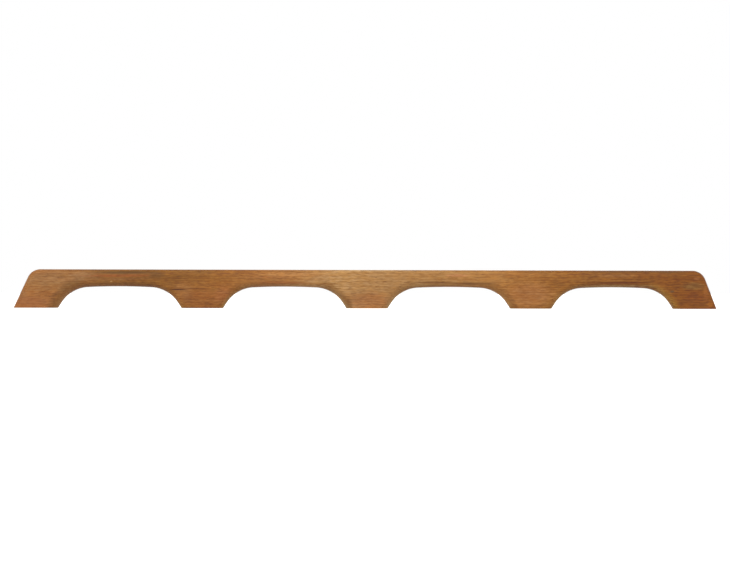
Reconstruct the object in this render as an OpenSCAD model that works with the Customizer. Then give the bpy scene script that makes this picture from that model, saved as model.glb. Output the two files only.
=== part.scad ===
// Teak grab rail: one board with hand loops between its feet.
// The feet stand on z = 0. X runs along the rail and Y through the board.
// Each foot holds a sleeve nut for a machine screw from below, under a glued bung.

/* [Rail] */
// Number of hand loops
loops = 4; // [2:1:6]
// Distance from one loop to the next
loop_pitch = 255; // [210:1:320]
// Width of a foot between two loops, at the base
foot_w = 64; // [50:1:80]
// Width of an end foot, at the base
end_foot_w = 67; // [62:1:110]
// Height from the base to the top edge
rail_h = 59.5; // [52:0.5:72]
// Thickness of the board
rail_t = 25; // [24:0.5:32]
// Radius of the round-over along the top and the ends
edge_r = 9; // [3:0.5:10]

/* [Loops] */
// Height of the grip over a loop
grip_h = 26.5; // [20:0.5:32]
// Radius in the corners of a loop
loop_r = 52; // [40:1:64]
// Radius of the round-over along the loops' edges
loop_edge_r = 11; // [3:0.5:11.5]
// Lean of a foot's sides from upright, in degrees
foot_lean = 33.4; // [20:0.2:40]

/* [Ends] */
// Lean of the left end from upright, in degrees
left_lean = 25; // [15:0.5:30]
// Lean of the right end from upright, in degrees
right_lean = 21.5; // [15:0.5:30]
// Radius of the top corner at each end
corner_r = 21; // [12:1:26]

/* [Fixings] */
// Distance of the first and last fixing from the end of the rail
end_fix = 49; // [48:1:60]
// Diameter of a bung
bung_d = 12.7; // [11:0.1:16]
// Length of a bung
bung_len = 12; // [8:0.5:14]
// Glue line round a bung
glue_gap = 0.05; // [0.02:0.01:0.2]
// Diameter of a sleeve nut's head
head_d = 12; // [9:0.1:15]
// Thickness of a sleeve nut's head
head_t = 2.5; // [1.5:0.1:4]
// Diameter of a sleeve nut's barrel
barrel_d = 8; // [7:0.1:10]
// Length of a sleeve nut's barrel
barrel_len = 36; // [20:1:36]
// Gap between a barrel and its hole
barrel_gap = 0.1; // [0.05:0.05:0.4]
// Diameter of the threaded hole, at the crests of an M6 thread
thread_d = 5; // [3.3:0.1:5.5]
// Length of the threaded hole
thread_len = 30; // [12:1:32]
// Width across the flats of the key socket in a sleeve nut's head
key_w = 4; // [3:0.5:5]
// Depth of the key socket
key_depth = 3; // [2:0.5:4]
// Width of the bevel round each screw hole in the base, which keeps a ring of sealant
sealant_bevel = 1.5; // [0.5:0.5:3]

/* [Hidden] */
$fn = 96;

over = 1;           // how far a cutter runs past a face
blend = 0.02;       // how far an arc stands past the straight runs that meet it, to cross them
nut_chamfer = 0.6;  // on a sleeve nut's barrel and in the mouth of its thread
hex_sides = 6;

rail_len = loops * loop_pitch - foot_w + 2 * end_foot_w;
rail_end = rail_len / 2;

// A loop is a leaning side, an arc of loop_r, a flat top and the same again.
// The arc's centre is (arc_x, arc_z) from the loop's middle at the base.
loop_h = rail_h - grip_h;
half_gap = (loop_pitch - foot_w) / 2;
arc_z = loop_h - loop_r;
arc_x = half_gap - (loop_r + arc_z * sin(foot_lean)) / cos(foot_lean);

shoulder_z = rail_h - bung_len - head_t;
barrel_hole_d = barrel_d + 2 * barrel_gap;
bung_hole_d = bung_d + 2 * glue_gap;
thread_z = shoulder_z - barrel_len;

function loop_x(number) = (number - (loops + 1) / 2) * loop_pitch;
function fix_x(foot) =
    foot == 1 ? end_fix - rail_end
    : foot == loops + 1 ? rail_end - end_fix
    : (foot - loops / 2 - 1) * loop_pitch;

// Centre of an end's top corner arc, measured along X from the middle of the rail
function end_arc_x(lean) =
    rail_end - (corner_r + (rail_h - corner_r) * sin(lean)) / cos(lean);

// Section of the board between two distances from an axis, its outer edges rounded over
module rounded_section(inner, outer) {
    translate([inner, -rail_t / 2]) square([outer - edge_r - inner, rail_t]);
    translate([inner, edge_r - rail_t / 2]) square([outer - inner, rail_t - 2 * edge_r]);
    for (side = [-1, 1])
        translate([outer - edge_r, side * (rail_t / 2 - edge_r)]) circle(edge_r);
}

// Section of a cut that trims the board at a distance from an axis and rounds its outer edges
module trimming_section(outer) {
    difference() {
        translate([outer - edge_r, -rail_t]) square([2 * rail_h, 2 * rail_t]);
        rounded_section(0, outer);
    }
}

// Section of a cut between two distances from an axis, rounding over the edges that it leaves
module opening_section(inner, outer) {
    translate([inner, -rail_t / 2 - over]) square([outer - inner, rail_t + 2 * over]);
    for (side = [0, 1])
        mirror([0, side]) difference() {
            translate([outer - over, rail_t / 2 - loop_edge_r])
                square([loop_edge_r + over, loop_edge_r + over]);
            translate([outer + loop_edge_r, rail_t / 2 - loop_edge_r]) circle(loop_edge_r);
        }
}

// Turns a section about an axis along Y, between two angles above +X
module turned(from, to) {
    rotate([90, 0, 0]) rotate_extrude(angle = to - from, start = from) children();
}

// Runs a section straight, at a lean from upright, from a distance above the origin downwards
module straight_run(lean, above, run) {
    rotate([0, -lean, 0]) translate([0, 0, above - run]) linear_extrude(run) children();
}

// What is cut off the right-hand end: outside its leaning face and its rounded top corner
module end_cut(lean) {
    translate([end_arc_x(lean), 0, rail_h - corner_r]) {
        turned(lean, 90) trimming_section(corner_r + blend);
        straight_run(lean, rail_h, 3 * rail_h) trimming_section(corner_r);
    }
}

// The whole board before the loops and holes are cut
module blank() {
    difference() {
        translate([-rail_end - over, 0, 0])
            straight_run(90, 0, rail_len + 2 * over) rounded_section(0, rail_h);
        end_cut(right_lean);
        mirror([1, 0, 0]) end_cut(left_lean);
    }
}

// One hand loop, cut right through the board
module loop_cut() {
    for (side = [0, 1])
        mirror([side, 0, 0]) translate([arc_x, 0, arc_z]) {
            turned(0, 360) opening_section(0, loop_r);
            straight_run(foot_lean, 0, rail_h) opening_section(-arc_x, loop_r - blend);
        }
    translate([-arc_x, 0, arc_z])
        straight_run(90, 0, 2 * arc_x) opening_section(-loop_h, loop_r - blend);
}

// The stepped hole of one fixing, on the Z axis
module fixing_hole() {
    translate([0, 0, -over]) cylinder(d = barrel_hole_d, h = rail_h);
    translate([0, 0, shoulder_z]) cylinder(d = bung_hole_d, h = rail_h);
    translate([0, 0, -over])
        cylinder(
            d1 = barrel_hole_d + 2 * (sealant_bevel + over),
            d2 = barrel_hole_d,
            h = sealant_bevel + over
        );
}

module rail() {
    color("#a87445") difference() {
        blank();
        for (number = [1:loops]) translate([loop_x(number), 0, 0]) loop_cut();
        for (foot = [1:loops + 1]) translate([fix_x(foot), 0, 0]) fixing_hole();
    }
}

// A wooden plug over the nut, trimmed flush with the rounded top of the rail
module bung(foot) {
    color("#9c6a3c") intersection() {
        translate([fix_x(foot), 0, rail_h - bung_len]) cylinder(d = bung_d, h = bung_len + over);
        blank();
    }
}

// A headed barrel with a blind thread, held by a key from above while its screw is driven
module sleeve_nut(foot) {
    color("#c9ccd0") translate([fix_x(foot), 0, 0]) difference() {
        union() {
            translate([0, 0, shoulder_z]) cylinder(d = head_d, h = head_t);
            translate([0, 0, thread_z + nut_chamfer])
                cylinder(d = barrel_d, h = barrel_len - nut_chamfer);
            translate([0, 0, thread_z])
                cylinder(d1 = barrel_d - 2 * nut_chamfer, d2 = barrel_d, h = nut_chamfer);
        }
        translate([0, 0, thread_z - over]) cylinder(d = thread_d, h = thread_len + over);
        translate([0, 0, thread_z - over])
            cylinder(
                d1 = thread_d + 2 * (nut_chamfer + over),
                d2 = thread_d,
                h = nut_chamfer + over
            );
        translate([0, 0, shoulder_z + head_t - key_depth])
            cylinder(d = key_w / cos(180 / hex_sides), h = key_depth + over, $fn = hex_sides);
    }
}

rail();
for (foot = [1:loops + 1]) {
    bung(foot);
    sleeve_nut(foot);
}
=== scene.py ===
"""The looks of a teak grab rail with four hand loops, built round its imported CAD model.

Sizes in the classes are in millimetres, except in Studio, and the meshes are turned into metres at
the end.
"""

import logging
import math
import sys
from dataclasses import dataclass
from enum import Enum

import bmesh
import bpy
from mathutils import Matrix, Vector


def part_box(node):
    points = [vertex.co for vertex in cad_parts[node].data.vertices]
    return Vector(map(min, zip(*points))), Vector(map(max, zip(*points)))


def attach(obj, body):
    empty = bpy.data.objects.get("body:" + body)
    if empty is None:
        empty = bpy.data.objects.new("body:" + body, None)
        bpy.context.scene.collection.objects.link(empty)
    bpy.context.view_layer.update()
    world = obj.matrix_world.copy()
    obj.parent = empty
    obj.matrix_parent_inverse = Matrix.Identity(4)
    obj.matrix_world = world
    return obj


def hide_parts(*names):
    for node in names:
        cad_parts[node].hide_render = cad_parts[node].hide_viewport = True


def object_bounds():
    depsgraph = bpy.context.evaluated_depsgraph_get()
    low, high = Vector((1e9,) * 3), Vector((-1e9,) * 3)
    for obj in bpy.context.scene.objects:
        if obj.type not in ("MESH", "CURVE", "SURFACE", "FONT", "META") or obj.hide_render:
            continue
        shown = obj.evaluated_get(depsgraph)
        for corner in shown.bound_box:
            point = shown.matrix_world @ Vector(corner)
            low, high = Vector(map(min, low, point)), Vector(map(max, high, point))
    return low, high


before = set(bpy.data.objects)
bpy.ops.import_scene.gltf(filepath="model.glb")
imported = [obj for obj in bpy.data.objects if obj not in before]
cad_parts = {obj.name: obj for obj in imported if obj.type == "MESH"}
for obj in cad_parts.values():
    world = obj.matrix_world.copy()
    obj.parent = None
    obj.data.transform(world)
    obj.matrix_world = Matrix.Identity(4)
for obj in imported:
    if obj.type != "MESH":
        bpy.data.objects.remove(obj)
CAD_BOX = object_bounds()

MM = 0.001  # metres in a millimetre
LEFT_END = -545.0  # millimetres along the rail, where the wood's tones are counted from
RIGHT_END = 545.0
LEVEL = 0.01  # millimetres within which two depths or heights count as the same
MERGE = 0.001  # millimetres within which two vertices count as one
FACE_ORDER = (1.0, 3.1, 7.3)  # weights of x, y and z by which faces are put in order
LOG = logging.getLogger("grab_rail")

# Sockets of a Mix node that mixes colours, which share their names with others of its sockets.
SHARE, COLOUR_A, COLOUR_B = 0, 6, 7
MIXED = 2

Tree = bpy.types.NodeTree
Socket = bpy.types.NodeSocket
Value = float | int | tuple | Socket
Colour = tuple[float, float, float, float]

# Factors on the wood's linear colour: red, green, blue and an alpha of 1.
LATE_WOOD = (0.58, 0.43, 0.14, 1.0)
EARLY_WOOD = (1.34, 1.44, 1.64, 1.0)
GOLDEN = (0.99, 1.01, 1.01, 1.0)
REDDISH = (1.02, 0.96, 0.76, 1.0)
# Painted shade on the round-overs that face down.
UNDERSIDE_SHADE = (0.84, 0.79, 0.70, 1.0)
# Painted bounce light from below, with the greyer tone of fibres cut at a slant.
SLANT_CUT_AND_BOUNCE = (1.24, 1.38, 1.52, 1.0)
END_RING_PALE = (1.14, 1.14, 1.12, 1.0)
END_RING_DARK = (0.78, 0.76, 0.74, 1.0)
END_SQUARE_CUT = (0.86, 0.84, 0.82, 1.0)

PORE_TONE = "#5a3216"
GLUE_TONE = "#4a2c14"
WHITE = (1.0, 1.0, 1.0, 1.0)


class Slot(Enum):
    """Material slot names of the record; this script doesn't use them."""

    BOARD = "teak_board"


class Side(Enum):
    """Which way along the rail something faces."""

    LEFT = -1
    RIGHT = 1


def linear(colour: str) -> Colour:
    """Turns an sRGB colour into the linear values that a shader takes.

    Args:
        colour: Six hex digits, with or without a leading #.

    Returns:
        Red, green, blue and an alpha of 1.
    """
    digits = colour.lstrip("#")
    parts = [int(digits[place : place + 2], 16) / 255 for place in (0, 2, 4)]
    red, green, blue = (
        part / 12.92 if part <= 0.04045 else ((part + 0.055) / 1.055) ** 2.4
        for part in parts
    )
    return red, green, blue, 1.0


def per_mm(x: float, y: float, z: float) -> tuple[float, float, float]:
    """Gives the Mapping scale at which a pattern's features are x, y and z millimetres long."""
    return 1 / x, 1 / y, 1 / z


def add_node(
    tree: Tree,
    kind: str,
    inputs: dict[str | int, Value] | None = None,
    stops: list[tuple[float, Colour]] | None = None,
    **settings: object,
) -> bpy.types.Node:
    """Adds a node to a tree with its settings and its links.

    Args:
        tree: The node tree.
        kind: The node's type, without "ShaderNode" in front.
        inputs: What goes into each socket, by name or place: a value, or another node's output.
        stops: Places and colours of a colour ramp.
        **settings: The node's own properties.

    Returns:
        The new node.
    """
    node = tree.nodes.new("ShaderNode" + kind)
    for name, setting in settings.items():
        setattr(node, name, setting)
    for place, value in (inputs or {}).items():
        if isinstance(value, Socket):
            tree.links.new(value, node.inputs[place])
        else:
            node.inputs[place].default_value = value
    for number, (place, colour) in enumerate(stops or []):
        elements = node.color_ramp.elements
        element = elements[number] if number < 2 else elements.new(place)
        element.position = place
        element.color = colour
    return node


def new_material(name: str) -> tuple[bpy.types.Material, Tree, bpy.types.Node]:
    """Makes a node material that holds only a Principled shader and its output.

    Args:
        name: The material's name.

    Returns:
        The material, its node tree and the Principled shader.
    """
    material = bpy.data.materials.new(name)
    material.use_nodes = True
    tree = material.node_tree
    tree.nodes.clear()
    shader = add_node(tree, "BsdfPrincipled")
    add_node(tree, "OutputMaterial", {"Surface": shader.outputs["BSDF"]})
    return material, tree, shader


def millimetres(tree: Tree) -> Socket:
    """Gives the object's own coordinates in millimetres.

    Args:
        tree: The material's node tree.

    Returns:
        The socket with the coordinates.
    """
    place = add_node(tree, "TexCoord").outputs["Object"]
    return add_node(tree, "VectorMath", {0: place, 3: 1 / MM}, operation="SCALE").outputs[0]


@dataclass(frozen=True)
class Streak:
    """A streak or patch of tint that fades out along the grain and across it: most are the wood's
    own colour, and some on the round-overs are painted shade, painted highlight and painted bounce
    light.

    Its middle and how far it reaches each way are in millimetres, and its strength is the share of
    the tint in its middle, from 0 to 1.
    """

    x: float
    z: float
    reach_x: float
    reach_z: float
    tint: str
    strength: float
    y: float = -12.5
    reach_y: float = 9.0


@dataclass(frozen=True)
class ShadingBand:
    """A band of painted shade, or of painted light where its factor is above 1, round a loop's
    corner.

    Sizes are in millimetres: the place of the corner's arc and its radius, how far outside the
    arc the band's middle lies, and how far it reaches to each side of that. It fades out towards
    the arc's top, and its factor multiplies the wood's colour.
    """

    x: float
    side: Side
    factor: tuple[float, float, float]
    out: float = 6.5
    reach: float = 8.0
    z: float = -19.0
    radius: float = 52.0


@dataclass(frozen=True)
class Teak:
    """Bare teak, planed and sanded: fine short grain, open pores and a matt, slightly oily face.

    It gives the eye a golden brown that wanders to reddish brown, thin broken lines of darker and
    redder late wood along the board, and short dark pore dashes.
    """

    name: str
    tones: tuple[tuple[float, str], ...]
    streaks: tuple[Streak, ...] = ()
    shading_bands: tuple[ShadingBand, ...] = ()
    contrasts: tuple[tuple[float, float], ...] = ((LEFT_END, 0.65), (RIGHT_END, 0.65))
    ring_spacing: float = 3.6
    pith: tuple[float, float, float] = (0.0, 70.0, -150.0)
    wander: float = 5.0
    wander_length: float = 260.0
    tongue: float = 180.0
    seed: float = 0.0
    glue_ring: tuple[float, float] | None = None

    def build(self) -> bpy.types.Material:
        """Builds the material.

        Returns:
            The material.
        """
        material, tree, shader = new_material(self.name)
        place = millimetres(tree)
        grain = self._grain_place(tree, place)
        figure = self._figure(tree, place, grain)
        pores = self._pores(tree, grain)
        along = self._along(tree, place)
        tones = [(x, linear(tone)) for x, tone in self.tones]
        colour = self._ramp(tree, along, tones)
        contrasts = [(x, (part, part, part, 1.0)) for x, part in self.contrasts]
        contrast = self._ramp(tree, along, contrasts)
        for streak in self.streaks:
            colour = self._streaked(tree, grain, figure, colour, streak)
        for shading_band in self.shading_bands:
            colour = self._shading_banded(tree, place, figure, colour, shading_band)
        colour = self._figured(tree, colour, figure, contrast)
        colour = self._hued(tree, place, grain, colour)
        colour = self._pored(tree, colour, pores)
        # Painted shade on the down-facing round-overs, and painted bounce light on the loops'
        # down-facing leaning sides.
        colour = self._slant_cut_and_bounce_light(tree, self._painted_underside_shade(tree, colour, figure))
        colour = self._end_grain(tree, grain, colour)
        if self.glue_ring:
            colour = self._glued(tree, place, colour)
        tree.links.new(colour, shader.inputs["Base Color"])
        tree.links.new(self._roughness(tree, place, figure), shader.inputs["Roughness"])
        tree.links.new(self._relief(tree, grain, pores), shader.inputs["Normal"])
        shader.inputs["IOR"].default_value = 1.5
        shader.inputs["Specular IOR Level"].default_value = 0.25
        shader.inputs["Sheen Weight"].default_value = 0.08
        shader.inputs["Sheen Roughness"].default_value = 0.4
        return material

    def _uneven(
        self, tree: Tree, place: Socket, size: tuple[float, float, float], detail: float
    ) -> bpy.types.Node:
        """Lays unevenness of a given size over the wood.

        Args:
            tree: The material's node tree.
            place: Coordinates in millimetres.
            size: Its length along the grain, its depth and its height.
            detail: How many finer layers lie over it.

        Returns:
            The noise node.
        """
        scaled = add_node(
            tree,
            "Mapping",
            {"Vector": place, "Location": (self.seed,) * 3, "Scale": per_mm(*size)},
        ).outputs[0]
        return add_node(tree, "TexNoise", {"Vector": scaled, "Scale": 1.0, "Detail": detail})

    def _rings(
        self, tree: Tree, grain: Socket, distortion: float, detail: float, detail_scale: float
    ) -> Socket:
        """Lays growth rings round the pith, which runs along the board outside it.

        Args:
            tree: The material's node tree.
            grain: Coordinates that follow the grain.
            distortion: How uneven the rings are.
            detail: How fine their unevenness is.
            detail_scale: How closely it follows along them.

        Returns:
            The socket with the place in a ring, from 0 to 1.
        """
        centred = add_node(
            tree, "Mapping", {"Vector": grain, "Location": tuple(-part for part in self.pith)}
        ).outputs[0]
        return add_node(
            tree,
            "TexWave",
            {
                "Vector": centred,
                "Scale": math.pi / 10 / self.ring_spacing,
                "Distortion": distortion,
                "Detail": detail,
                "Detail Scale": detail_scale,
            },
            wave_type="RINGS",
            rings_direction="X",
            wave_profile="SAW",
        ).outputs["Fac"]

    def _grain_place(self, tree: Tree, place: Socket) -> Socket:
        """Bends the coordinates a little, so that the grain wanders along the board.

        Args:
            tree: The material's node tree.
            place: Coordinates in millimetres.

        Returns:
            The socket with the bent coordinates, in millimetres.
        """
        bend = self._uneven(tree, place, (self.wander_length, 60, 60), 1.0).outputs["Color"]
        return add_node(
            tree,
            "VectorMath",
            {0: bend, 1: (0.0, self.wander, self.wander), 2: place},
            operation="MULTIPLY_ADD",
        ).outputs[0]

    def _figure(self, tree: Tree, place: Socket, grain: Socket) -> Socket:
        """Mixes growth rings, short and long fibres and broad patches into one light-dark value.

        Args:
            tree: The material's node tree.
            place: Coordinates in millimetres.
            grain: Coordinates that follow the grain.

        Returns:
            The socket with the value, 0 for late wood and 1 for early wood.
        """
        rings = self._rings(tree, grain, 3.0, 2.0, 0.6)
        total = add_node(tree, "Math", {0: rings, 1: 0.12}, operation="MULTIPLY").outputs[0]
        layers = (
            (grain, (8.5, 3.0, 2.3), 4.0, 0.50),
            (grain, (80, 9.0, 3.2), 4.0, 0.26),
            (place, (45, 30, 20), 2.0, 0.20),
        )
        for where, size, detail, weight in layers:
            noise = self._uneven(tree, where, size, detail).outputs["Fac"]
            total = add_node(
                tree, "Math", {0: noise, 1: weight, 2: total}, operation="MULTIPLY_ADD"
            ).outputs[0]
        return add_node(
            tree, "MapRange", {"Value": total, "From Min": 0.42, "From Max": 0.66}
        ).outputs[0]

    def _pores(self, tree: Tree, grain: Socket) -> Socket:
        """Draws the open pores as short dashes along the grain.

        Real ones are 0.2 to 0.3 mm wide, and these are drawn 0.7 mm wide so that they show.

        Args:
            tree: The material's node tree.
            grain: Coordinates that follow the grain.

        Returns:
            The socket with the pores, 1 in a pore and 0 elsewhere.
        """
        noise = self._uneven(tree, grain, (11, 0.7, 0.7), 1.0).outputs["Fac"]
        return add_node(
            tree, "MapRange", {"Value": noise, "From Min": 0.60, "From Max": 0.66}
        ).outputs[0]

    def _along(self, tree: Tree, place: Socket) -> Socket:
        """Tells how far along the board a place is, drawn out into tongues along the grain.

        Args:
            tree: The material's node tree.
            place: Coordinates in millimetres.

        Returns:
            The socket with the share, 0 at the left end and 1 at the right end.
        """
        x = add_node(tree, "SeparateXYZ", {0: place}).outputs["X"]
        tongues = self._uneven(tree, place, (180, 14, 6), 3.0).outputs["Fac"]
        shifted = add_node(
            tree, "Math", {0: tongues, 1: self.tongue, 2: x}, operation="MULTIPLY_ADD"
        ).outputs[0]
        half = self.tongue / 2
        return add_node(
            tree,
            "MapRange",
            {"Value": shifted, "From Min": LEFT_END + half, "From Max": RIGHT_END + half},
        ).outputs[0]

    def _ramp(self, tree: Tree, along: Socket, colours: list[tuple[float, Colour]]) -> Socket:
        """Gives a colour or a grey that changes along the board.

        Args:
            tree: The material's node tree.
            along: The share of the board's length.
            colours: Places along the board in millimetres, and the colour at each.

        Returns:
            The socket with the colour.
        """
        stops = [((x - LEFT_END) / (RIGHT_END - LEFT_END), colour) for x, colour in colours]
        return add_node(tree, "ValToRGB", {"Fac": along}, stops=stops).outputs["Color"]

    def _figured(self, tree: Tree, colour: Socket, figure: Socket, contrast: Socket) -> Socket:
        """Draws the figure into a colour: darker and redder in late wood, paler in early wood.

        Args:
            tree: The material's node tree.
            colour: The colour so far.
            figure: The light-dark value.
            contrast: How strong the figure is, from 0 to 1.

        Returns:
            The socket with the new colour.
        """
        factor = add_node(
            tree,
            "Mix",
            {SHARE: figure, COLOUR_A: LATE_WOOD, COLOUR_B: EARLY_WOOD},
            data_type="RGBA",
        ).outputs[MIXED]
        return add_node(
            tree,
            "Mix",
            {SHARE: contrast, COLOUR_A: colour, COLOUR_B: factor},
            data_type="RGBA",
            blend_type="MULTIPLY",
        ).outputs[MIXED]

    def _hued(self, tree: Tree, place: Socket, grain: Socket, colour: Socket) -> Socket:
        """Lets the hue wander from golden to reddish brown, in patches and in short fibres.

        Args:
            tree: The material's node tree.
            place: Coordinates in millimetres.
            grain: Coordinates that follow the grain.
            colour: The colour so far.

        Returns:
            The socket with the new colour.
        """
        total = 0.0
        for where, size, weight in ((place, (55, 30, 9), 0.45), (grain, (11, 4, 3.2), 0.55)):
            noise = self._uneven(tree, where, size, 3.0).outputs["Fac"]
            total = add_node(
                tree, "Math", {0: noise, 1: weight, 2: total}, operation="MULTIPLY_ADD"
            ).outputs[0]
        share = add_node(
            tree, "MapRange", {"Value": total, "From Min": 0.41, "From Max": 0.60}
        ).outputs[0]
        hue = add_node(
            tree,
            "Mix",
            {SHARE: share, COLOUR_A: GOLDEN, COLOUR_B: REDDISH},
            data_type="RGBA",
        ).outputs[MIXED]
        return add_node(tree, "VectorMath", {0: colour, 1: hue}, operation="MULTIPLY").outputs[0]

    def _streaked(
        self, tree: Tree, grain: Socket, figure: Socket, colour: Socket, streak: Streak
    ) -> Socket:
        """Tints one streak.

        Args:
            tree: The material's node tree.
            grain: Coordinates that follow the grain.
            figure: The light-dark value, which frays the streak.
            colour: The colour so far.
            streak: The streak.

        Returns:
            The socket with the new colour.
        """
        half = self.wander / 2
        inside = add_node(
            tree,
            "Mapping",
            {
                "Vector": grain,
                "Location": (streak.x, streak.y + half, streak.z + half),
                "Scale": (streak.reach_x, streak.reach_y, streak.reach_z),
            },
            vector_type="TEXTURE",
        )
        fade = add_node(
            tree, "TexGradient", {0: inside.outputs[0]}, gradient_type="SPHERICAL"
        ).outputs["Fac"]
        fray = add_node(
            tree, "Math", {0: figure, 1: 0.25, 2: fade}, operation="MULTIPLY_ADD"
        ).outputs[0]
        frayed = add_node(
            tree,
            "MapRange",
            {"Value": fray, "From Min": 0.22, "From Max": 0.85, "To Max": streak.strength},
            interpolation_type="SMOOTHSTEP",
        ).outputs[0]
        return add_node(
            tree,
            "Mix",
            {SHARE: frayed, COLOUR_A: colour, COLOUR_B: linear(streak.tint)},
            data_type="RGBA",
        ).outputs[MIXED]

    def _shading_banded(
        self, tree: Tree, place: Socket, figure: Socket, colour: Socket, shading_band: ShadingBand
    ) -> Socket:
        """Darkens (painted shade) or pales (painted light) one band round a loop's corner.

        Args:
            tree: The material's node tree.
            place: Coordinates in millimetres.
            figure: The light-dark value, which frays the band.
            colour: The colour so far.
            shading_band: The band.

        Returns:
            The socket with the new colour.
        """
        offset = add_node(
            tree,
            "VectorMath",
            {0: place, 1: (1.0, 0.0, 1.0), 2: (-shading_band.x, 0.0, -shading_band.z)},
            operation="MULTIPLY_ADD",
        ).outputs[0]
        away = add_node(tree, "VectorMath", {0: offset}, operation="LENGTH").outputs["Value"]
        uneven = add_node(
            tree, "Math", {0: figure, 1: 3.0, 2: away}, operation="MULTIPLY_ADD"
        ).outputs[0]
        apart = add_node(
            tree,
            "Math",
            {0: uneven, 1: shading_band.radius + shading_band.out + 1.5},
            operation="SUBTRACT",
        ).outputs[0]
        size = add_node(tree, "Math", {0: apart}, operation="ABSOLUTE").outputs[0]
        inside = add_node(
            tree,
            "MapRange",
            {"Value": size, "From Min": shading_band.reach, "From Max": shading_band.reach * 0.2},
            interpolation_type="SMOOTHSTEP",
        ).outputs[0]
        across = add_node(tree, "SeparateXYZ", {0: offset}).outputs["X"]
        outward = add_node(
            tree,
            "MapRange",
            {"Value": across, "From Max": shading_band.side.value * 0.4 * shading_band.radius},
            interpolation_type="SMOOTHSTEP",
        ).outputs[0]
        share = add_node(tree, "Math", {0: inside, 1: outward}, operation="MULTIPLY").outputs[0]
        # Painted shade or painted light: the colour is multiplied by the band's factor.
        return add_node(
            tree,
            "Mix",
            {SHARE: share, COLOUR_A: colour, COLOUR_B: (*shading_band.factor, 1.0)},
            data_type="RGBA",
            blend_type="MULTIPLY",
        ).outputs[MIXED]

    def _pored(self, tree: Tree, colour: Socket, pores: Socket) -> Socket:
        """Darkens the colour in the pores.

        Args:
            tree: The material's node tree.
            colour: The colour so far.
            pores: The pores.

        Returns:
            The socket with the new colour.
        """
        depth = add_node(tree, "Math", {0: pores, 1: 0.50}, operation="MULTIPLY").outputs[0]
        return add_node(
            tree,
            "Mix",
            {SHARE: depth, COLOUR_A: colour, COLOUR_B: linear(PORE_TONE)},
            data_type="RGBA",
        ).outputs[MIXED]

    def _painted_underside_shade(self, tree: Tree, colour: Socket, figure: Socket) -> Socket:
        """Darkens the round-overs that face down: painted shade where less light reaches
        underneath.

        Args:
            tree: The material's node tree.
            colour: The colour so far.
            figure: The light-dark value, which makes the darkening uneven.

        Returns:
            The socket with the new colour.
        """
        normal = add_node(tree, "TexCoord").outputs["Normal"]
        down = add_node(tree, "SeparateXYZ", {0: normal}).outputs["Z"]
        uneven = add_node(
            tree, "Math", {0: figure, 1: 0.2, 2: down}, operation="MULTIPLY_ADD"
        ).outputs[0]
        # Painted shade: the further a face points down, the darker it is painted.
        painted_shade = add_node(
            tree,
            "MapRange",
            {"Value": uneven, "From Min": -0.40, "From Max": -0.90},
            interpolation_type="SMOOTHSTEP",
        ).outputs[0]
        return add_node(
            tree,
            "Mix",
            {SHARE: painted_shade, COLOUR_A: colour, COLOUR_B: UNDERSIDE_SHADE},
            data_type="RGBA",
            blend_type="MULTIPLY",
        ).outputs[MIXED]

    def _slant_cut_and_bounce_light(self, tree: Tree, colour: Socket) -> Socket:
        """Pales and greys the loops' leaning sides where they face down: painted bounce light from
        the floor below, with the greyer tone of fibres cut at a slant.

        Args:
            tree: The material's node tree.
            colour: The colour so far.

        Returns:
            The socket with the new colour.
        """
        normal = add_node(tree, "TexCoord").outputs["Normal"]
        parts = add_node(tree, "SeparateXYZ", {0: normal}).outputs
        across = add_node(tree, "Math", {0: parts["X"]}, operation="ABSOLUTE").outputs[0]
        share = 1.0
        # The painted bounce light goes on faces that lean across the rail and face down.
        for part, start, full in ((across, 0.35, 0.75), (parts["Z"], 0.05, -0.25)):
            slant = add_node(
                tree,
                "MapRange",
                {"Value": part, "From Min": start, "From Max": full},
                interpolation_type="SMOOTHSTEP",
            ).outputs[0]
            share = add_node(tree, "Math", {0: slant, 1: share}, operation="MULTIPLY").outputs[0]
        return add_node(
            tree,
            "Mix",
            {SHARE: share, COLOUR_A: colour, COLOUR_B: SLANT_CUT_AND_BOUNCE},
            data_type="RGBA",
            blend_type="MULTIPLY",
        ).outputs[MIXED]

    def _end_grain(self, tree: Tree, grain: Socket, colour: Socket) -> Socket:
        """Shows growth rings where the fibres are cut, and darkens a face that cuts them square.

        Teak's rings are 2 to 5 mm apart, and open fibre ends drink light.

        Args:
            tree: The material's node tree.
            grain: Coordinates that follow the grain.
            colour: The colour so far.

        Returns:
            The socket with the new colour.
        """
        normal = add_node(tree, "TexCoord").outputs["Normal"]
        along = add_node(tree, "SeparateXYZ", {0: normal}).outputs["X"]
        size = add_node(tree, "Math", {0: along}, operation="ABSOLUTE").outputs[0]
        rings = self._rings(tree, grain, 1.2, 3.0, 1.5)
        ringed = add_node(
            tree,
            "Mix",
            {SHARE: rings, COLOUR_A: END_RING_PALE, COLOUR_B: END_RING_DARK},
            data_type="RGBA",
        ).outputs[MIXED]
        for start, full, factor in ((0.45, 0.82, ringed), (0.84, 0.90, END_SQUARE_CUT)):
            share = add_node(
                tree,
                "MapRange",
                {"Value": size, "From Min": start, "From Max": full},
                interpolation_type="SMOOTHSTEP",
            ).outputs[0]
            colour = add_node(
                tree,
                "Mix",
                {SHARE: share, COLOUR_A: colour, COLOUR_B: factor},
                data_type="RGBA",
                blend_type="MULTIPLY",
            ).outputs[MIXED]
        return colour

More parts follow.
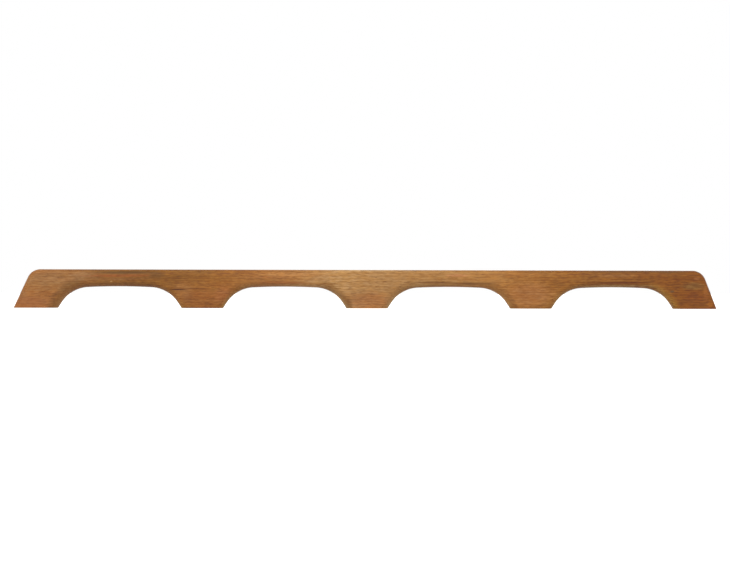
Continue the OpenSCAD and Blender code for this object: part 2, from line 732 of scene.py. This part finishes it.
    def _glued(self, tree: Tree, place: Socket, colour: Socket) -> Socket:
        """Darkens a thin ring where glue has soaked into a bung's rim.

        Args:
            tree: The material's node tree.
            place: Coordinates in millimetres.
            colour: The colour so far.

        Returns:
            The socket with the new colour.
        """
        middle, radius = self.glue_ring
        offset = add_node(
            tree,
            "VectorMath",
            {0: place, 1: (1.0, 1.0, 0.0), 2: (-middle, 0.0, 0.0)},
            operation="MULTIPLY_ADD",
        ).outputs[0]
        away = add_node(tree, "VectorMath", {0: offset}, operation="LENGTH").outputs["Value"]
        soaked = add_node(
            tree,
            "MapRange",
            {"Value": away, "From Min": radius - 0.8, "From Max": radius - 0.1, "To Max": 0.75},
            interpolation_type="SMOOTHSTEP",
        ).outputs[0]
        return add_node(
            tree,
            "Mix",
            {SHARE: soaked, COLOUR_A: colour, COLOUR_B: linear(GLUE_TONE)},
            data_type="RGBA",
        ).outputs[MIXED]

    def _roughness(self, tree: Tree, place: Socket, figure: Socket) -> Socket:
        """Varies the gloss: late wood is denser and smoother, and hands have smoothed some patches.

        Args:
            tree: The material's node tree.
            place: Coordinates in millimetres.
            figure: The light-dark value.

        Returns:
            The socket with the roughness.
        """
        worn = self._uneven(tree, place, (70, 30, 25), 3.0).outputs["Fac"]
        base = add_node(
            tree, "MapRange", {"Value": worn, "To Min": 0.50, "To Max": 0.64}
        ).outputs[0]
        return add_node(
            tree, "Math", {0: figure, 1: 0.10, 2: base}, operation="MULTIPLY_ADD"
        ).outputs[0]

    def _relief(self, tree: Tree, grain: Socket, pores: Socket) -> Socket:
        """Gives the raised grain of sanded teak and its sunk pores.

        The grain stands 0.05 mm proud in nature and 0.08 mm here, so that it shows.

        Args:
            tree: The material's node tree.
            grain: Coordinates that follow the grain.
            pores: The pores.

        Returns:
            The socket with the normal.
        """
        fibres = self._uneven(tree, grain, (48, 1.8, 1.8), 4.0).outputs["Fac"]
        raised = add_node(tree, "Math", {0: fibres, 1: 0.08}, operation="MULTIPLY").outputs[0]
        height = add_node(
            tree, "Math", {0: pores, 1: -0.05, 2: raised}, operation="MULTIPLY_ADD"
        ).outputs[0]
        return add_node(
            tree, "Bump", {"Height": height, "Distance": MM, "Strength": 1.0}
        ).outputs[0]


@dataclass(frozen=True)
class TurnedSteel:
    """A4 stainless steel, turned on a lathe: bright, with fine rings round its axis."""

    name: str
    centre_x: float
    tone: str = "#c9c7c1"
    stain: str = "#aeaca6"
    ring_spacing: float = 0.35

    def build(self) -> bpy.types.Material:
        """Builds the material.

        Returns:
            The material.
        """
        material, tree, shader = new_material(self.name)
        place = add_node(
            tree, "Mapping", {"Vector": millimetres(tree), "Location": (-self.centre_x, 0.0, 0.0)}
        ).outputs[0]
        rings = add_node(
            tree,
            "TexWave",
            {
                "Vector": place,
                "Scale": math.pi / 10 / self.ring_spacing,
                "Distortion": 1.5,
                "Detail": 2.0,
            },
            wave_type="RINGS",
            rings_direction="SPHERICAL",
        ).outputs["Fac"]
        stained = add_node(
            tree, "TexNoise", {"Vector": place, "Scale": 0.25, "Detail": 4.0}
        ).outputs["Fac"]
        tone = add_node(
            tree,
            "ValToRGB",
            {"Fac": stained},
            stops=[(0.3, linear(self.stain)), (0.7, linear(self.tone))],
        ).outputs["Color"]
        rough = add_node(
            tree, "MapRange", {"Value": rings, "To Min": 0.22, "To Max": 0.38}
        ).outputs[0]
        bump = add_node(
            tree, "Bump", {"Height": rings, "Distance": 0.01 * MM, "Strength": 1.0}
        ).outputs[0]
        tree.links.new(tone, shader.inputs["Base Color"])
        tree.links.new(rough, shader.inputs["Roughness"])
        tree.links.new(bump, shader.inputs["Normal"])
        shader.inputs["Metallic"].default_value = 1.0
        return material


@dataclass(frozen=True)
class Paper:
    """White background paper: matt, with the faintest mottle. It keeps a plain pale floor."""

    name: str = "studio_paper"
    tone: str = "#f4f4f2"
    mottle: str = "#f1f1ef"
    glow: float = 0.80

    def build(self) -> bpy.types.Material:
        """Builds the material.

        Returns:
            The material.
        """
        material, tree, shader = new_material(self.name)
        mottled = add_node(
            tree, "TexNoise", {"Vector": millimetres(tree), "Scale": 0.01, "Detail": 3.0}
        ).outputs["Fac"]
        tone = add_node(
            tree,
            "ValToRGB",
            {"Fac": mottled},
            stops=[(0.3, linear(self.mottle)), (0.7, linear(self.tone))],
        ).outputs["Color"]
        tree.links.new(tone, shader.inputs["Base Color"])
        shader.inputs["Roughness"].default_value = 0.9
        shader.inputs["Emission Color"].default_value = linear(self.tone)
        shader.inputs["Emission Strength"].default_value = self.glow
        return material


class Pen:
    """Traces an outline in the XZ plane of a bmesh, in straight runs and arcs."""

    def __init__(self, bm: bmesh.types.BMesh, x: float, y: float, z: float) -> None:
        """Sets the pen down.

        Args:
            bm: The bmesh that the outline goes into.
            x: Where it starts along the rail.
            y: The plane it stays in.
            z: Where it starts in height.
        """
        self.bm = bm
        self.y = y
        self.tip = bmesh.ops.create_vert(bm, co=(x, y, z))["vert"][0]

    def line(self, x: float, z: float) -> None:
        """Draws a straight run to a point."""
        made = bmesh.ops.extrude_vert_indiv(self.bm, verts=[self.tip])
        self.tip = made["verts"][0]
        self.tip.co = (x, self.y, z)

    def arc(self, x: float, z: float, turn: float, steps: int) -> None:
        """Draws an arc from where the pen stands.

        Args:
            x: The centre's place along the rail.
            z: The centre's height.
            turn: How far it turns, in degrees, clockwise when looked at along +Y.
            steps: How many straight pieces it has.
        """
        made = bmesh.ops.spin(
            self.bm,
            geom=[self.tip],
            cent=(x, self.y, z),
            axis=(0, 1, 0),
            angle=math.radians(turn),
            steps=steps,
            use_duplicate=False,
        )
        self.tip = next(part for part in made["geom_last"] if isinstance(part, bmesh.types.BMVert))

    def close(self) -> bmesh.types.BMFace:
        """Joins the end to the start and fills the outline.

        Returns:
            The face.
        """
        bmesh.ops.remove_doubles(self.bm, verts=self.bm.verts[:], dist=MERGE)
        made = bmesh.ops.contextual_create(self.bm, geom=self.bm.edges[:])
        return made["faces"][0]


@dataclass(frozen=True)
class Fixing:
    """A stepped hole down through a foot, with its bung and its sleeve nut."""

    number: int
    x: float
    tone: str
    bung: float = 12.7
    bung_hole: float = 12.8
    shoulder: float = 45.0
    barrel_hole: float = 8.2
    mouth_bevel: float = 1.5
    over: float = 2.0
    rim_steps: int = 64

    def bore(self, bm: bmesh.types.BMesh, top: float) -> None:
        """Adds the solid that the hole takes out of the board.

        Args:
            bm: The bmesh that the solid goes into.
            top: Height of the board.
        """
        wide = self.barrel_hole / 2
        mouth = wide + self.mouth_bevel + self.over
        pen = Pen(bm, 0, 0, -self.over)
        start = pen.tip
        for x, z in (
            (mouth, -self.over),
            (wide, self.mouth_bevel),
            (wide, self.shoulder),
            (self.bung_hole / 2, self.shoulder),
            (self.bung_hole / 2, top + self.over),
            (0, top + self.over),
        ):
            pen.line(x, z)
        profile = linked(start)
        bmesh.ops.spin(
            bm,
            geom=profile,
            cent=(0, 0, 0),
            axis=(0, 0, 1),
            angle=math.tau,
            steps=self.rim_steps,
            use_merge=True,
        )
        solid = linked(start)
        verts = [part for part in solid if isinstance(part, bmesh.types.BMVert)]
        bmesh.ops.translate(bm, verts=verts, vec=(self.x, 0, 0))

    def dress(self, bung: bpy.types.Material, steel: bpy.types.Material) -> None:
        """Gives the bung and the nut their finishes.

        Args:
            bung: The bung's material.
            steel: The nut's material.
        """
        for kind, material in (("bung", bung), ("sleeve_nut", steel)):
            node = f"{kind}_{self.number}"
            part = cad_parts[node]
            for slot in part.material_slots:
                slot.material = material
            LOG.info("%s: %s", node, material.name)


def linked(start: bmesh.types.BMVert) -> list[bmesh.types.BMVert | bmesh.types.BMEdge]:
    """Collects everything that hangs together with a vertex, in the same order each run.

    Args:
        start: The vertex.

    Returns:
        The vertices and edges.
    """
    verts = {start: True}
    edges = {}
    waiting = [start]
    while waiting:
        vert = waiting.pop()
        for edge in vert.link_edges:
            edges[edge] = True
            other = edge.other_vert(vert)
            if other not in verts:
                verts[other] = True
                waiting.append(other)
    return [*verts, *edges]


@dataclass(frozen=True)
class Board:
    """The board: one piece of teak with five feet, four hand loops and two slanted ends."""

    length: float
    thickness: float
    height: float
    fixings: tuple[Fixing, ...]
    loops: int = 4
    pitch: float = 255.0
    half_gap: float = 95.5
    foot_lean: float = 33.4
    corner_radius: float = 52.0
    crown_height: float = 33.4
    crown_radius: float = 1010.0
    left_lean: float = 25.0
    right_lean: float = 21.5
    end_radius: float = 21.0
    round_over: float = 9.0
    loop_round_over: float = 11.0
    arris: float = 0.5
    end_steps: int = 16
    corner_steps: int = 20
    crown_steps: int = 10
    round_over_steps: int = 10
    arris_steps: int = 2
    name: str = "board"

    def build(self, material: bpy.types.Material) -> bpy.types.Object:
        """Builds the board, which stands for the CAD node "rail".

        Args:
            material: Its finish.

        Returns:
            The board's object.
        """
        bm = bmesh.new()
        face = self._outline(bm)
        self._thicken(bm, face)
        self._round_over(bm)
        self._ease_base(bm)
        board = finished(bm, self.name, material)
        bores = self._bores()
        cut(board, bores)
        shade(board)
        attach(board, "root")
        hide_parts("rail")
        LOG.info("%s: %d faces", self.name, len(board.data.polygons))
        return board

    def _outline(self, bm: bmesh.types.BMesh) -> bmesh.types.BMFace:
        """Traces the side view on the front face.

        Args:
            bm: The bmesh that the outline goes into.

        Returns:
            The front face.
        """
        end = self.length / 2
        pen = Pen(bm, -end, -self.thickness / 2, 0)
        self._end(pen, Side.LEFT)
        self._end(pen, Side.RIGHT)
        for number in reversed(range(self.loops)):
            self._loop(pen, (number - (self.loops - 1) / 2) * self.pitch)
        pen.line(-end, 0)
        return pen.close()

    def _end(self, pen: Pen, side: Side) -> None:
        """Traces one end: the slanted face and the rounded top corner.

        Args:
            pen: The pen, at the base on the left or at the top on the right.
            side: Which end it is.
        """
        lean = math.radians(self.left_lean if side is Side.LEFT else self.right_lean)
        low = self.height - self.end_radius
        reach = self.length / 2 - (self.end_radius + low * math.sin(lean)) / math.cos(lean)
        centre = side.value * reach
        turn = 90 - math.degrees(lean)
        if side is Side.LEFT:
            pen.line(
                centre - self.end_radius * math.cos(lean), low + self.end_radius * math.sin(lean)
            )
            pen.arc(centre, low, turn, self.end_steps)
        else:
            pen.line(centre, self.height)
            pen.arc(centre, low, turn, self.end_steps)
            pen.line(self.length / 2, 0)

    def _loop(self, pen: Pen, middle: float) -> None:
        """Traces one hand loop from right to left: side, corner, crown, corner, side.

        Args:
            pen: The pen.
            middle: The loop's middle along the rail.
        """
        lean = math.radians(self.foot_lean)
        radius = self.corner_radius
        spread = self.crown_radius - radius
        low = self.crown_height - self.crown_radius
        rise = self.half_gap * math.cos(lean) - radius - low * math.sin(lean)
        crown = math.asin(rise / spread) - lean
        reach = spread * math.sin(crown)
        height = low + spread * math.cos(crown)
        side = (reach + radius * math.cos(lean), height + radius * math.sin(lean))
        turn = 90 - self.foot_lean - math.degrees(crown)
        pen.line(middle + self.half_gap, 0)
        pen.line(middle + side[0], side[1])
        pen.arc(middle + reach, height, -turn, self.corner_steps)
        pen.arc(middle, low, -2 * math.degrees(crown), self.crown_steps)
        pen.arc(middle - reach, height, -turn, self.corner_steps)
        pen.line(middle - self.half_gap, 0)

    def _thicken(self, bm: bmesh.types.BMesh, face: bmesh.types.BMFace) -> None:
        """Extrudes the front face through the board's thickness.

        Args:
            bm: The bmesh.
            face: The front face.
        """
        made = bmesh.ops.extrude_face_region(bm, geom=[face], use_keep_orig=True)
        verts = [part for part in made["geom"] if isinstance(part, bmesh.types.BMVert)]
        bmesh.ops.translate(bm, verts=verts, vec=(0, self.thickness, 0))
        bmesh.ops.recalc_face_normals(bm, faces=bm.faces[:])

    def _round_over(self, bm: bmesh.types.BMesh) -> None:
        """Rounds every long edge but those round the bases.

        Args:
            bm: The bmesh.
        """
        edges = [
            edge
            for edge in bm.edges
            if abs(edge.verts[0].co.y - edge.verts[1].co.y) < LEVEL
            and max(vert.co.z for vert in edge.verts) > LEVEL
        ]
        inside = [edge for edge in edges if self._in_loop(edge)]
        outside = [edge for edge in edges if edge not in inside]
        bevel(bm, inside, self.loop_round_over, self.round_over_steps)
        bevel(bm, outside, self.round_over, self.round_over_steps)

    def _in_loop(self, edge: bmesh.types.BMEdge) -> bool:
        """Tells whether an edge of the outline belongs to a hand loop."""
        middle = (edge.verts[0].co + edge.verts[1].co) / 2
        span = self.loops * self.pitch / 2 - (self.pitch / 2 - self.half_gap)
        return middle.z < self.crown_height + 1 and abs(middle.x) < span

    def _ease_base(self, bm: bmesh.types.BMesh) -> None:
        """Takes the sharp arris off round the foot of each base.

        Args:
            bm: The bmesh.
        """
        bases = {face for face in bm.faces if max(vert.co.z for vert in face.verts) < LEVEL}
        edges = [
            edge
            for edge in bm.edges
            if len([face for face in edge.link_faces if face in bases]) == 1
        ]
        bevel(bm, edges, self.arris, self.arris_steps)

    def _bores(self) -> bpy.types.Object:
        """Makes one object of the solids that the fixing holes take out.

        Returns:
            The object.
        """
        bm = bmesh.new()
        for fixing in self.fixings:
            fixing.bore(bm, self.height)
        bmesh.ops.remove_doubles(bm, verts=bm.verts[:], dist=MERGE)
        bmesh.ops.recalc_face_normals(bm, faces=bm.faces[:])
        return finished(bm, "bores", None)


def bevel(
    bm: bmesh.types.BMesh, edges: list[bmesh.types.BMEdge], offset: float, segments: int
) -> None:
    """Rounds edges over.

    Args:
        bm: The bmesh.
        edges: The edges.
        offset: How far the rounding reaches from each edge.
        segments: How many faces it has across.
    """
    bmesh.ops.bevel(
        bm,
        geom=edges,
        offset=offset,
        offset_type="OFFSET",
        affect="EDGES",
        segments=segments,
        profile=0.5,
        material=-1,
        clamp_overlap=False,
    )


def finished(
    bm: bmesh.types.BMesh, name: str, material: bpy.types.Material | None
) -> bpy.types.Object:
    """Turns a bmesh in millimetres into an object in metres, at the origin.

    Args:
        bm: The bmesh, which is freed.
        name: The object's name.
        material: Its material.

    Returns:
        The object.
    """
    bmesh.ops.scale(bm, verts=bm.verts[:], vec=(MM, MM, MM))
    # The bmesh operators leave the faces in an order that changes from run to run.
    bm.faces.sort(key=lambda face: face.calc_center_median().dot(FACE_ORDER))
    mesh = bpy.data.meshes.new(name)
    bm.to_mesh(mesh)
    bm.free()
    if material:
        mesh.materials.append(material)
    made = bpy.data.objects.new(name, mesh)
    bpy.context.scene.collection.objects.link(made)
    return made


def cut(board: bpy.types.Object, tool: bpy.types.Object) -> None:
    """Cuts one object out of another and removes the tool.

    Args:
        board: The object that stays.
        tool: What is taken out of it.
    """
    modifier = board.modifiers.new("bores", "BOOLEAN")
    modifier.operation = "DIFFERENCE"
    modifier.solver = "EXACT"
    modifier.object = tool
    graph = bpy.context.evaluated_depsgraph_get()
    mesh = bpy.data.meshes.new_from_object(board.evaluated_get(graph))
    board.modifiers.clear()
    board.data = mesh
    bpy.data.objects.remove(tool)


def shade(board: bpy.types.Object, crease: float = 35.0) -> None:
    """Shades an object smooth, but sharp along its creases, with its large faces kept flat.

    Args:
        board: The object.
        crease: Angle above which an edge stays sharp, in degrees.
    """
    board.data.shade_smooth()
    board.data.set_sharp_from_angle(angle=math.radians(crease))
    weighted = board.modifiers.new("flat_faces", "WEIGHTED_NORMAL")
    weighted.mode = "FACE_AREA"
    weighted.weight = 80
    weighted.keep_sharp = True


@dataclass(frozen=True)
class Studio:
    """A white studio: paper floor, even white surroundings, two soft lights and the camera.

    Its places and sizes are in metres and its angles in degrees. Only aside is in millimetres: how
    far along and how far up from the rail's middle the camera aims.
    """

    middle: Vector
    distance: float = 1.89
    lens: float = 60.0
    azimuth: float = -1.1
    roll: float = 0.12
    aside: tuple[float, float] = (-3.1, -0.5)
    light_azimuth: float = -6.0
    light_height: float = 36.0
    light_power: float = 1.68
    light_spread: float = 40.0
    light_distance: float = 3.0
    fill_azimuth: float = 160.0
    fill_height: float = 8.0
    fill_power: float = 0.95
    zenith: float = 0.50
    horizon: float = 0.66
    nadir: float = 0.36
    floor_size: float = 12.0

    def build(self) -> None:
        """Builds the floor, the surroundings, the light and the camera."""
        self._floor()
        self._surroundings()
        self._lights()
        self._camera()
        bpy.context.scene.view_settings.view_transform = "Standard"

    def _floor(self) -> None:
        """Lays the paper floor that the feet stand on. It doesn't throw light back on the wood."""
        bm = bmesh.new()
        half = self.floor_size / 2 / MM
        bmesh.ops.create_grid(bm, x_segments=1, y_segments=1, size=half)
        floor = finished(bm, "floor", Paper().build())
        floor.visible_diffuse = False

    def _surroundings(self) -> None:
        """Sets surroundings that look white, but light the wood less from above and from below."""
        world = bpy.data.worlds.new("studio")
        bpy.context.scene.world = world
        world.use_nodes = True
        tree = world.node_tree
        tree.nodes.clear()
        direction = add_node(tree, "TexCoord").outputs["Generated"]
        height = add_node(tree, "SeparateXYZ", {0: direction}).outputs["Z"]
        share = add_node(tree, "MapRange", {"Value": height, "From Min": -1.0}).outputs[0]
        greys = ((0.0, self.nadir), (0.5, self.horizon), (1.0, self.zenith))
        stops = [(place, (grey, grey, grey, 1.0)) for place, grey in greys]
        around = add_node(tree, "ValToRGB", {"Fac": share}, stops=stops).outputs["Color"]
        path = add_node(tree, "LightPath").outputs
        seen = add_node(
            tree,
            "Math",
            {0: path["Is Camera Ray"], 1: path["Is Glossy Ray"]},
            operation="MAXIMUM",
        ).outputs[0]
        light = add_node(
            tree, "Mix", {SHARE: seen, COLOUR_A: around, COLOUR_B: WHITE}, data_type="RGBA"
        ).outputs[MIXED]
        background = add_node(tree, "Background", {"Color": light})
        add_node(tree, "OutputWorld", {"Surface": background.outputs[0]})

    def _lights(self) -> None:
        """Hangs a large soft light in front, above and to the left, and a weaker one behind."""
        self._light("softbox", self.light_azimuth, self.light_height, self.light_power)
        self._light("fill", self.fill_azimuth, self.fill_height, self.fill_power)

    def _light(self, name: str, azimuth: float, height: float, power: float) -> None:
        """Hangs one large soft light that points at the rail.

        Args:
            name: The light's name.
            azimuth: Its direction from the rail, in degrees from the front towards the right.
            height: Its direction above the horizon, in degrees.
            power: Its strength.
        """
        data = bpy.data.lights.new(name, "SUN")
        data.energy = power
        data.angle = math.radians(self.light_spread)
        light = bpy.data.objects.new(name, data)
        light.matrix_world = aimed(self.middle, azimuth, height, self.light_distance)
        bpy.context.scene.collection.objects.link(light)

    def _camera(self) -> None:
        """Sets the camera level with the rail, square to it but for a degree."""
        data = bpy.data.cameras.new("camera")
        data.lens = self.lens
        data.clip_start = 0.01
        camera = bpy.data.objects.new("camera", data)
        target = self.middle + Vector((self.aside[0], 0.0, self.aside[1])) * MM
        stand = aimed(target, self.azimuth, 0.0, self.distance)
        camera.matrix_world = stand @ Matrix.Rotation(math.radians(self.roll), 4, "Z")
        bpy.context.scene.collection.objects.link(camera)
        bpy.context.scene.camera = camera


def aimed(target: Vector, azimuth: float, height: float, distance: float) -> Matrix:
    """Gives the place of a light or camera that looks at a target.

    Args:
        target: What it looks at.
        azimuth: Its direction from the target, in degrees from the front towards the right.
        height: Its direction above the horizon, in degrees.
        distance: How far off it stands, in metres.

    Returns:
        Its matrix.
    """
    turn, lift = math.radians(azimuth), math.radians(height)
    back = Vector(
        (math.sin(turn) * math.cos(lift), -math.cos(turn) * math.cos(lift), math.sin(lift))
    )
    facing = (-back).to_track_quat("-Z", "Y").to_matrix().to_4x4()
    return Matrix.Translation(target + back * distance) @ facing


# The board's own colour, at places along it.
BOARD_TONES = (
    (-510.0, "#a36a36"),
    (-410.0, "#8d5d29"),
    (-310.0, "#8a581b"),
    (-220.0, "#975f23"),
    (-130.0, "#a16a34"),
    (-50.0, "#b98c59"),
    (30.0, "#a97c4b"),
    (110.0, "#ac7c46"),
    (220.0, "#ab7336"),
    (300.0, "#925d20"),
    (400.0, "#885318"),
    (490.0, "#814908"),
)

# Each bung is cut from another piece of teak than the board, and shows as a darker or paler disc.
BUNG_TONES = ("#835024", "#a8733a", "#94633a", "#8a5226", "#9a6530")

# A later one lies over an earlier one.
BOARD_STREAKS = (
    Streak(-495.0, 42.0, 62.0, 24.0, "#a0774c", 0.5),
    Streak(-438.0, 49.0, 32.0, 11.0, "#a98460", 0.35),
    Streak(-520.0, 8.0, 50.0, 14.0, "#985d33", 0.75),
    Streak(-538.0, 22.0, 20.0, 16.0, "#8f6440", 0.5),
    Streak(-381.0, 49.5, 82.0, 3.0, "#9a5526", 0.75),
    Streak(-383.0, 44.5, 70.0, 2.6, "#8d6038", 0.6),
    # Painted shade: a darker band on grip 1's underside round-over.
    Streak(-378.0, 38.0, 80.0, 3.0, "#80521c", 0.6),
    Streak(-393.5, 41.0, 2.8, 1.2, "#b89060", 0.75),
    # Darker along the top edge, on the front round-over.
    Streak(-368.0, 55.0, 80.0, 4.8, "#5c3f1c", 0.75, reach_y=6.0),
    Streak(-325.0, 50.0, 18.0, 8.0, "#6e4a20", 0.7),
    Streak(-283.0, 22.0, 22.0, 26.0, "#a36f3f", 0.5),
    Streak(-255.0, 14.0, 45.0, 22.0, "#8a4f1f", 0.6),
    Streak(-292.0, 28.0, 20.0, 1.6, "#4e260c", 1.0),
    Streak(-262.0, 29.5, 26.0, 1.8, "#6e3a14", 0.6),
    Streak(-262.0, 56.0, 60.0, 4.5, "#7c5122", 0.5),
    Streak(-220.0, 18.0, 22.0, 22.0, "#9f6132", 0.7),
    Streak(-128.0, 52.5, 60.0, 4.6, "#bb8148", 0.7),
    Streak(-150.0, 48.0, 60.0, 3.2, "#a86a34", 0.6),
    # Painted shade: a darker band on grip 2's underside round-over.
    Streak(-133.0, 39.5, 60.0, 3.2, "#9c5d2a", 0.8),
    Streak(-28.0, 14.0, 20.0, 20.0, "#9c6e40", 0.5),
    Streak(4.0, 11.0, 48.0, 22.0, "#9e602f", 0.66),
    # Painted highlight along the top round-over.
    Streak(5.0, 59.0, 90.0, 3.6, "#c9a06c", 0.6, y=-7.0),
    Streak(139.0, 51.0, 24.0, 4.4, "#c08250", 0.8),
    # Painted shade: darker bands on grip 3's underside round-over.
    Streak(105.0, 40.5, 46.0, 2.6, "#82552a", 0.8),
    Streak(162.0, 39.0, 52.0, 2.8, "#7e4f1f", 0.8),
    Streak(250.0, 22.0, 52.0, 28.0, "#a66c3e", 0.55),
    Streak(262.0, 57.5, 60.0, 4.0, "#8a5722", 0.6),
    # Painted shade: a darker band on grip 4's underside round-over.
    Streak(395.0, 40.5, 66.0, 2.2, "#68330f", 1.0),
    # Painted bounce light on grip 4's underside round-over.
    Streak(380.0, 35.0, 85.0, 3.2, "#a98352", 0.7, y=-8.0),
    Streak(385.0, 50.5, 50.0, 3.6, "#a6703c", 0.5),
    # Darker along the top edge towards the right end, on the front round-over.
    Streak(420.0, 58.5, 130.0, 4.4, "#5f3d1c", 0.8, y=-9.5, reach_y=6.0),
    Streak(468.0, 57.0, 40.0, 3.4, "#573a19", 0.6, reach_y=5.0),
    Streak(511.0, 47.5, 8.0, 3.4, "#9d6234", 0.7),
    Streak(506.0, 36.0, 26.0, 9.0, "#86602f", 0.7),
    Streak(473.0, 27.0, 5.0, 3.0, "#5c4128", 0.9),
    Streak(508.0, 16.0, 22.0, 18.0, "#7c4210", 0.7),
    Streak(532.0, 7.0, 7.0, 12.0, "#a5601a", 0.4),
    Streak(526.0, 24.0, 6.0, 20.0, "#a3632c", 0.35),
    # Darker round the right end's top corner.
    Streak(517.0, 57.0, 9.0, 2.6, "#4a2f16", 0.6, y=-9.0, reach_y=4.0),
)

# How strong the figure is along the board.
BOARD_CONTRASTS = (
    (-510.0, 0.50),
    (-430.0, 0.50),
    (-360.0, 0.66),
    (-255.0, 0.74),
    (-160.0, 0.56),
    (-60.0, 0.62),
    (0.0, 0.57),
    (127.0, 0.54),
    (190.0, 0.50),
    (250.0, 0.54),
    (320.0, 0.78),
    (400.0, 0.86),
    (450.0, 0.88),
    (505.0, 0.82),
    (532.0, 0.62),
)

# The bands of painted shade and painted light at the corners of the loops.
BOARD_SHADING_BANDS = (
    ShadingBand(-428.2, Side.LEFT, (0.72, 0.74, 0.71), out=9.0, reach=9.5),
    ShadingBand(-336.8, Side.RIGHT, (1.10, 1.12, 1.12), out=5.0, reach=8.0),
    ShadingBand(-173.2, Side.LEFT, (1.10, 1.25, 1.30), out=0.5, reach=5.0),
    ShadingBand(-81.8, Side.RIGHT, (0.68, 0.62, 0.52), reach=9.0),
    ShadingBand(81.8, Side.LEFT, (0.90, 0.89, 0.86), out=7.5, reach=7.0),
    ShadingBand(173.2, Side.RIGHT, (0.80, 0.79, 0.78), out=7.0, reach=6.5),
    ShadingBand(336.8, Side.LEFT, (1.10, 1.25, 1.50), out=0.5, reach=6.0),
    ShadingBand(428.2, Side.RIGHT, (1.45, 1.92, 3.60), out=1.0, reach=11.0),
)


def main() -> None:
    """Builds the rail's pieces in order, then the studio."""
    logging.basicConfig(level=logging.INFO, format="%(message)s", stream=sys.stdout)
    low, high = (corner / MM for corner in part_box("rail"))
    fixings = []
    for number, tone in enumerate(BUNG_TONES, start=1):
        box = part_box(f"bung_{number}")
        fixings.append(Fixing(number, (box[0].x + box[1].x) / 2 / MM, tone))
    board = Board(high.x - low.x, high.y - low.y, high.z - low.z, tuple(fixings))
    teak = Teak("bare_teak", BOARD_TONES, BOARD_STREAKS, BOARD_SHADING_BANDS, BOARD_CONTRASTS)
    board.build(teak.build())
    for fixing in fixings:
        bung = Teak(
            f"teak_bung_wood_{fixing.number}",
            ((LEFT_END, fixing.tone), (RIGHT_END, fixing.tone)),
            seed=37.0 * fixing.number,
            glue_ring=(fixing.x, fixing.bung / 2),
        )
        steel = TurnedSteel(f"turned_a4_stainless_{fixing.number}", fixing.x)
        fixing.dress(bung.build(), steel.build())
    middle = (CAD_BOX[0] + CAD_BOX[1]) / 2
    Studio(Vector((middle.x, middle.y, middle.z))).build()


if __name__ == "__main__":
    main()
